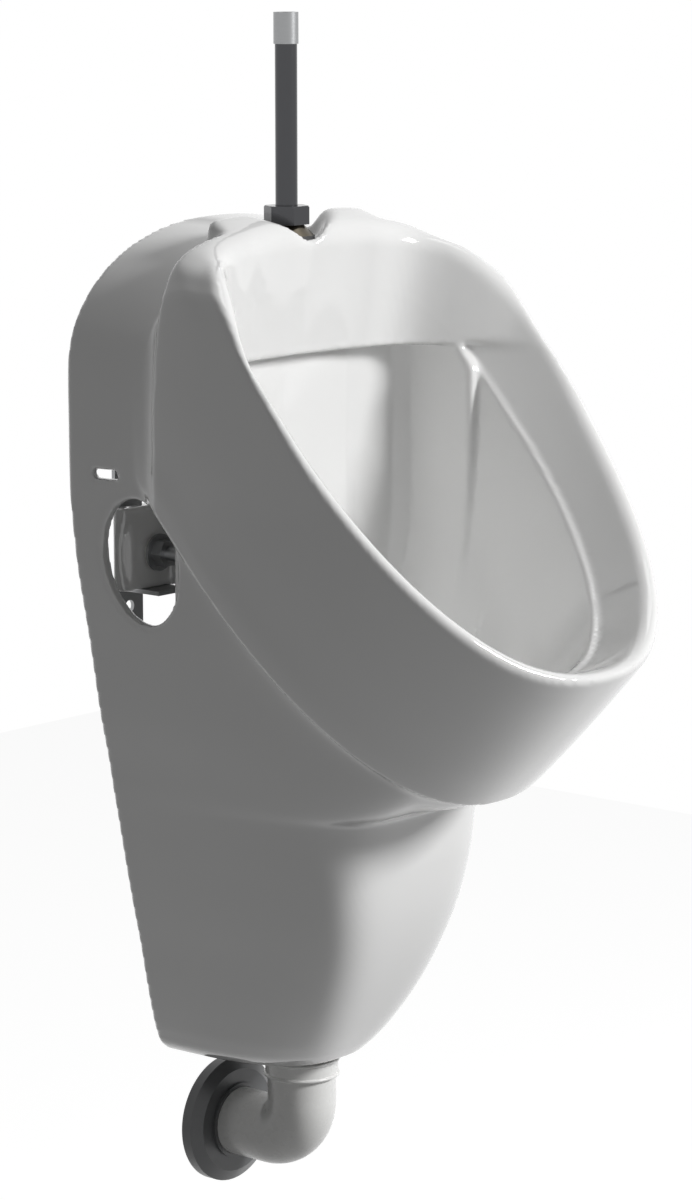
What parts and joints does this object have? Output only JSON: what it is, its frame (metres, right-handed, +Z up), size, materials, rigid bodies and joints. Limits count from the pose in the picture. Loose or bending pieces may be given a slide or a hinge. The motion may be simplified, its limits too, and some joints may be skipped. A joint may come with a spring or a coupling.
{
  "type": "urinal",
  "caption": "Wall hung white china urinal with a raised sloping rim, top flush pipe, drain with a bottle trap inside the skirt, outlet elbow, wall rosette and bolted wall brackets",
  "frame": {"origin": "on the wall plane, on the centreline, at the middle of the four wall screw holes", "axes": "X across, Y into the wall, Z up; the front of the urinal faces -Y"},
  "size_m": [0.3101, 0.338, 0.8234],
  "materials": {
    "china": "gloss",
    "chrome": "polished",
    "steel": "satin",
    "brass": "satin",
    "rubber": "matte",
    "white_plastic": "gloss",
    "grey_plastic": "satin",
    "bush_plastic": "matte"
  },
  "bodies": {
    "urinal": {"china_body": "china", "left_wall_bracket": "steel", "right_wall_bracket": "steel", "fixing_bolts": "steel", "fixing_bushes": "bush_plastic", "fixing_washers": "steel", "fixing_nuts": "steel", "inlet_rubber_connector": "rubber", "inlet_spud": "brass", "inlet_olive": "rubber", "flush_pipe": "chrome", "pipe_ferrule": "steel", "waste_flange": "chrome", "waste_upper_seal": "rubber", "waste_lower_seal": "rubber", "waste_back_nut": "white_plastic", "trap_body": "white_plastic", "trap_dip_tube": "white_plastic", "trap_inlet_seal": "rubber", "trap_cup_seal": "rubber", "tail_pipe": "white_plastic", "tail_seal": "rubber"},
    "inlet_nut": {"inlet_nut": "chrome"},
    "strainer": {"drain_strainer": "steel"},
    "trap_nut": {"trap_inlet_nut": "white_plastic"},
    "trap_cup": {"trap_cup": "white_plastic"},
    "tail_nut": {"tail_nut": "white_plastic"},
    "elbow": {"outlet_elbow": "white_plastic", "outlet_socket_seal": "rubber"},
    "rosette": {"wall_rosette": "grey_plastic"}
  },
  "joints": [
    {"name": "inlet_nut_turn", "type": "hinge", "parent": "urinal", "child": "inlet_nut", "pos_m": [0, -0.062, 0.221], "axis": [0, 0, 1], "continuous": true},
    {"name": "strainer_lift", "type": "slide", "parent": "urinal", "child": "strainer", "axis": [0, 0, 1], "range_m": [0, 0.06]},
    {"name": "trap_nut_turn", "type": "hinge", "parent": "urinal", "child": "trap_nut", "pos_m": [0, -0.134, -0.178], "axis": [0, 0, 1], "continuous": true},
    {"name": "trap_cup_turn", "type": "hinge", "parent": "urinal", "child": "trap_cup", "pos_m": [0, -0.134, -0.24], "axis": [0, 0, 1], "continuous": true},
    {"name": "tail_nut_turn", "type": "hinge", "parent": "urinal", "child": "tail_nut", "pos_m": [0, -0.073, -0.246], "axis": [0, 0, 1], "continuous": true},
    {"name": "elbow_swivel", "type": "hinge", "parent": "urinal", "child": "elbow", "pos_m": [0, -0.073, -0.37], "axis": [0, 0, 1], "range_deg": [-90, 90]},
    {"name": "rosette_slide", "type": "slide", "parent": "elbow", "child": "rosette", "axis": [0, -1, 0], "range_m": [0, 0.028]}
  ]
}
